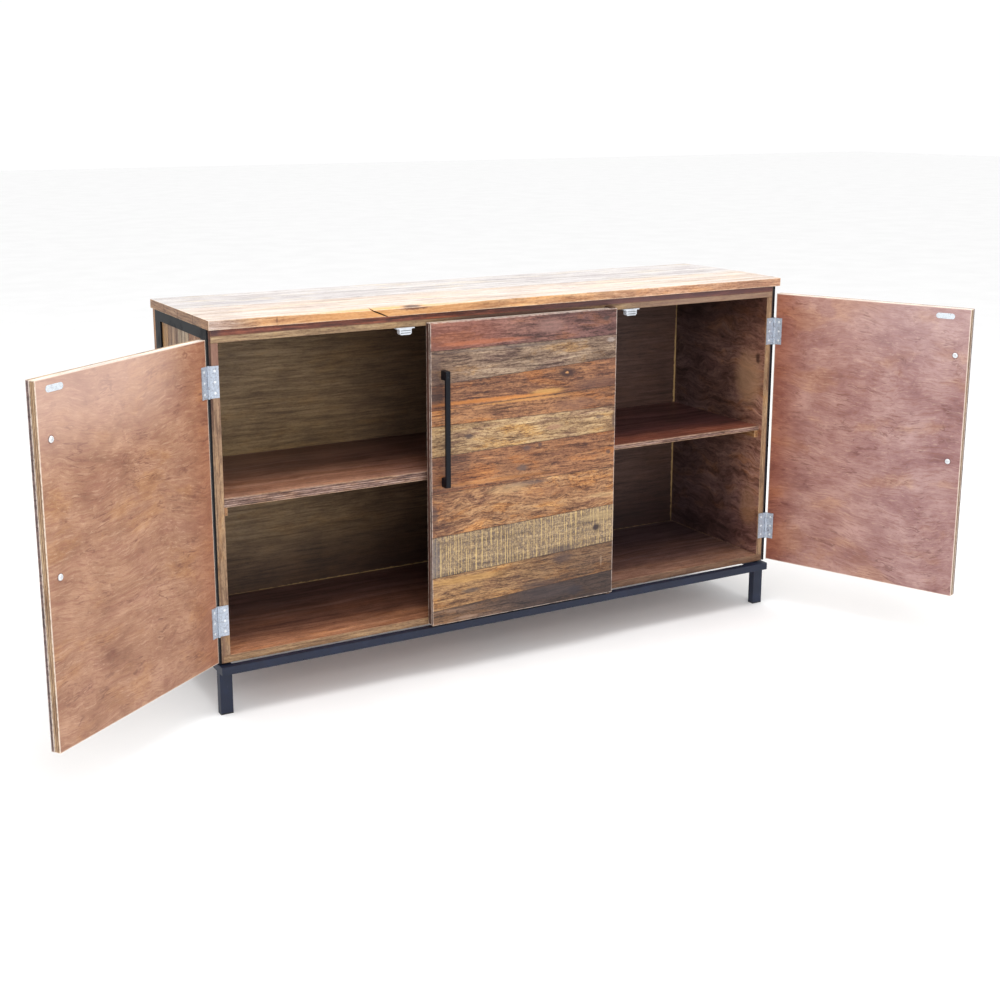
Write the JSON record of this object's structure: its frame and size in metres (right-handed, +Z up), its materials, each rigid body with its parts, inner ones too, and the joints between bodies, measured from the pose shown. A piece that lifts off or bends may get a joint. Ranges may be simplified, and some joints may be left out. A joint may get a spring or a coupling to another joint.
{
  "type": "sideboard",
  "caption": "Industrial sideboard with a reclaimed-plank top, plank-faced hinged doors, inner shelves, dark steel side frames and a slim steel base on legs.",
  "frame": {"origin": "on the floor, below the middle of the rectangular part of the top", "axes": "+X towards the cabinet's right as seen from the front, +Y towards its back, +Z up; the front faces -Y"},
  "size_m": [2.2905, 0.8955, 0.923],
  "materials": {
    "top_wood": "worn, lightly oiled",
    "spacer_wood": "dark stain",
    "carcass_ply": "satin stained plywood",
    "back_ply": "satin stained plywood",
    "cleat_wood": "sawn",
    "side_steel": "dark satin",
    "cladding_wood": "rough sawn",
    "base_steel": "dark satin",
    "glide_plastic": "matt",
    "zinc": "bright zinc plate",
    "catch_plastic": "matt white",
    "door_ply": "satin stained plywood",
    "door_planks": "worn, oiled",
    "handle_black": "black powder coat"
  },
  "bodies": {
    "cabinet": {"top_board_front_left": "top_wood", "top_board_front_right": "top_wood", "top_board_second": "top_wood", "top_board_third": "top_wood", "top_board_back": "top_wood", "front_spacer_rail": "spacer_wood", "rear_spacer_rail": "spacer_wood", "side_spacer_rails": "spacer_wood", "top_panel": "carcass_ply", "bottom_panel": "carcass_ply", "left_side_panel": "carcass_ply", "right_side_panel": "carcass_ply", "divider_panel": "carcass_ply", "wide_back_panel": "back_ply", "narrow_back_panel": "back_ply", "wide_shelf": "carcass_ply", "narrow_shelf": "carcass_ply", "wide_shelf_cleats": "cleat_wood", "narrow_shelf_cleats": "cleat_wood", "left_side_frame": "side_steel", "right_side_frame": "side_steel", "left_side_cladding": "cladding_wood", "right_side_cladding": "cladding_wood", "base_front_rail": "base_steel", "base_rear_rail": "base_steel", "base_left_rail": "base_steel", "base_right_rail": "base_steel", "base_centre_rail": "base_steel", "base_legs": "base_steel", "leg_glides": "glide_plastic", "base_mounting_plates": "base_steel", "base_screws": "zinc", "top_screws": "zinc", "magnetic_catches": "catch_plastic", "fixed_hinge_leaves": "zinc", "hinge_pins": "zinc", "hardware_screws": "zinc", "upper_pivot_bracket": "base_steel", "lower_pivot_bracket": "base_steel"},
    "left_door": {"left_door_panel": "door_ply", "left_door_face_planks": "door_planks", "left_door_handle": "handle_black", "left_door_handle_bolts": "zinc", "left_door_strike_plate": "zinc", "left_door_screws": "zinc", "left_door_hinge_leaves": "zinc"},
    "centre_door": {"centre_door_panel": "door_ply", "centre_door_face_planks": "door_planks", "centre_door_handle": "handle_black", "centre_door_handle_bolts": "zinc", "centre_door_strike_plate": "zinc", "centre_door_screws": "zinc", "centre_door_pivot_bushes": "zinc"},
    "right_door": {"right_door_panel": "door_ply", "right_door_face_planks": "door_planks", "right_door_handle": "handle_black", "right_door_handle_bolts": "zinc", "right_door_strike_plate": "zinc", "right_door_screws": "zinc", "right_door_hinge_leaves": "zinc"}
  },
  "joints": [
    {"name": "left_door_swing", "type": "hinge", "parent": "cabinet", "child": "left_door", "pos_m": [-0.7988, -0.196, 0.5], "axis": [0, 0, -1], "range_deg": [-145, 35]},
    {"name": "centre_door_swing", "type": "hinge", "parent": "cabinet", "child": "centre_door", "pos_m": [0.254, -0.214, 0.5], "axis": [0, 0, 1], "range_deg": [0, 105]},
    {"name": "right_door_swing", "type": "hinge", "parent": "cabinet", "child": "right_door", "pos_m": [0.7988, -0.196, 0.5], "axis": [0, 0, 1], "range_deg": [-113, 67]}
  ]
}
